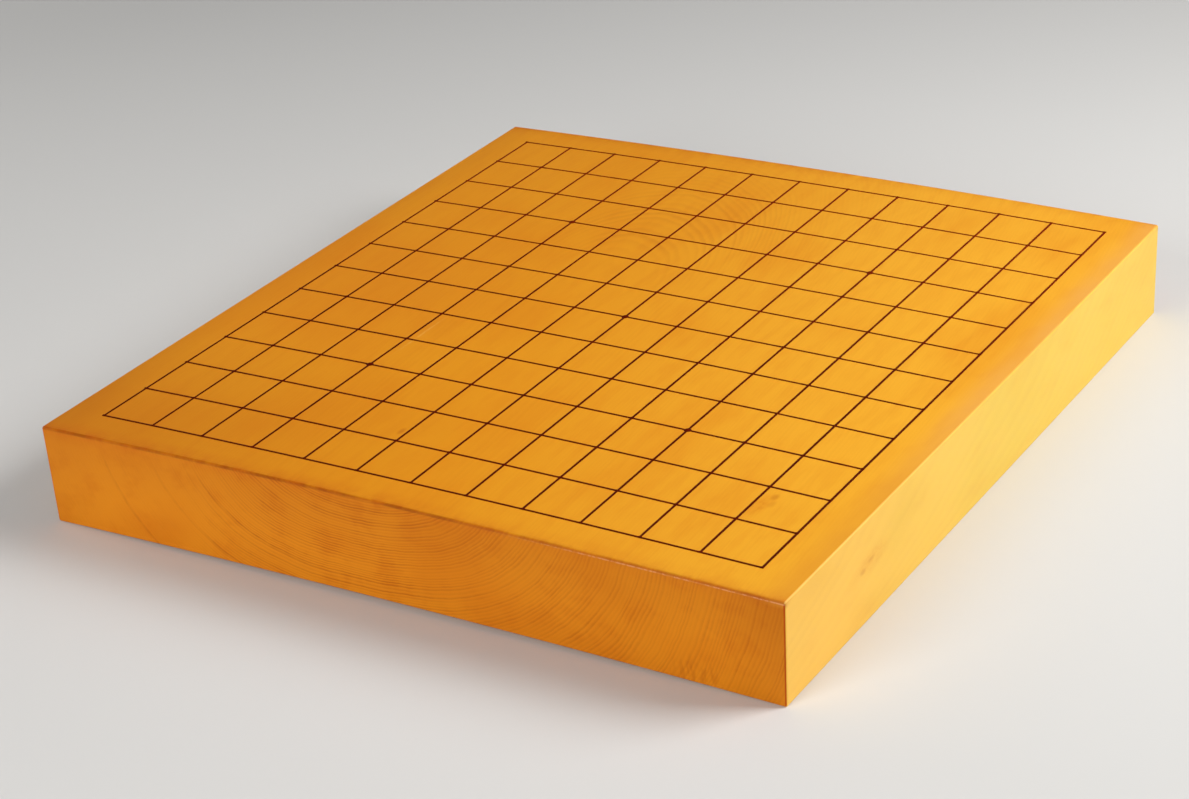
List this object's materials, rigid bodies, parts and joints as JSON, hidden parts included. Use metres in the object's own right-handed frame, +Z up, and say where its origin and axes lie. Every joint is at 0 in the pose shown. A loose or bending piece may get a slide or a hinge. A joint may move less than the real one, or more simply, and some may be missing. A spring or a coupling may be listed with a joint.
{
  "type": "go board",
  "caption": "Thick one-piece wooden table board for go, slightly cupped, with a raised dark lacquer grid and star points on top.",
  "frame": {"origin": "on the standing surface, under the middle of the board", "axes": "+X to the right along the front end-grain face, +Y along the grain from front to back, +Z up"},
  "size_m": [0.296, 0.3156, 0.0402],
  "materials": {
    "wood": "oiled and polished softwood, satin",
    "lacquer": "dark brown-black lacquer, laid by hand"
  },
  "bodies": {
    "root": {"slab": "wood", "lengthwise_line_01": "lacquer", "lengthwise_line_02": "lacquer", "lengthwise_line_03": "lacquer", "lengthwise_line_04": "lacquer", "lengthwise_line_05": "lacquer", "lengthwise_line_06": "lacquer", "lengthwise_line_07": "lacquer", "lengthwise_line_08": "lacquer", "lengthwise_line_09": "lacquer", "lengthwise_line_10": "lacquer", "lengthwise_line_11": "lacquer", "lengthwise_line_12": "lacquer", "lengthwise_line_13": "lacquer", "crosswise_line_01": "lacquer", "crosswise_line_02": "lacquer", "crosswise_line_03": "lacquer", "crosswise_line_04": "lacquer", "crosswise_line_05": "lacquer", "crosswise_line_06": "lacquer", "crosswise_line_07": "lacquer", "crosswise_line_08": "lacquer", "crosswise_line_09": "lacquer", "crosswise_line_10": "lacquer", "crosswise_line_11": "lacquer", "crosswise_line_12": "lacquer", "crosswise_line_13": "lacquer", "star_point_front_left": "lacquer", "star_point_front_right": "lacquer", "star_point_centre": "lacquer", "star_point_back_left": "lacquer", "star_point_back_right": "lacquer"}
  },
  "joints": []
}
